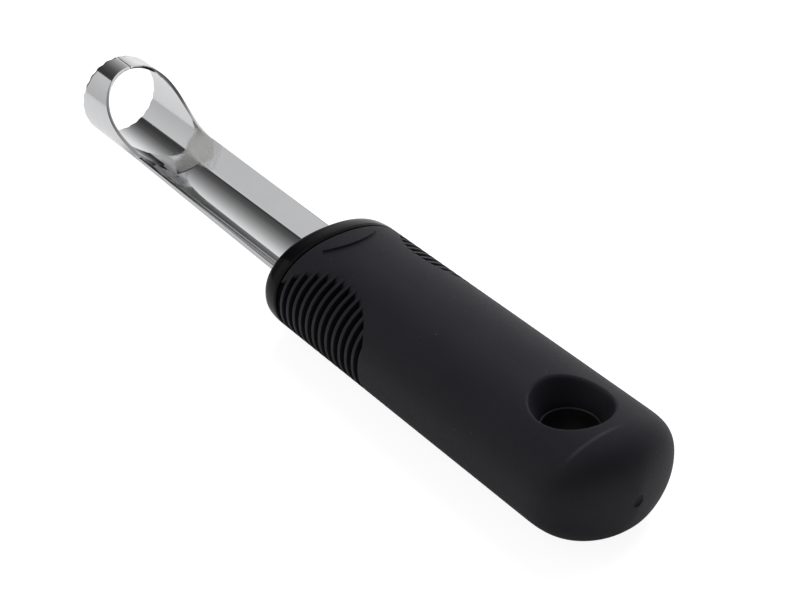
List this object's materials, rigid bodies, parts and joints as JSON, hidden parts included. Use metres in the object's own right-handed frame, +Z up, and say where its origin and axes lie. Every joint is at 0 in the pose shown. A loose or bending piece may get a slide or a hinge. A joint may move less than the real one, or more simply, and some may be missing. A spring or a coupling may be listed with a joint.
{
  "type": "apple corer",
  "caption": "Hand-held fruit corer: a scalloped steel cutting ring and open trough on a wide shallow shank, in a thick soft oval handle with finned sides and a hanging hole.",
  "frame": {"origin": "under the middle of the tool's overall box, on the plane of the flat strip that the handle rests on", "axes": "+X along the tool towards the cutting ring, +Y across it to the left of someone looking along +X, +Z up, away from the flat strip and towards the open side of the trough"},
  "size_m": [0.1883, 0.034, 0.0266],
  "materials": {
    "blade_steel": "mirror-polished stainless steel sheet",
    "collar_plastic": "hard glossy black",
    "core_plastic": "hard satin black",
    "grip_rubber": "matte soft charcoal black"
  },
  "bodies": {
    "root": {"corer_blade": "blade_steel", "front_collar": "collar_plastic", "handle_core": "core_plastic", "grip_sleeve": "grip_rubber"}
  },
  "joints": []
}
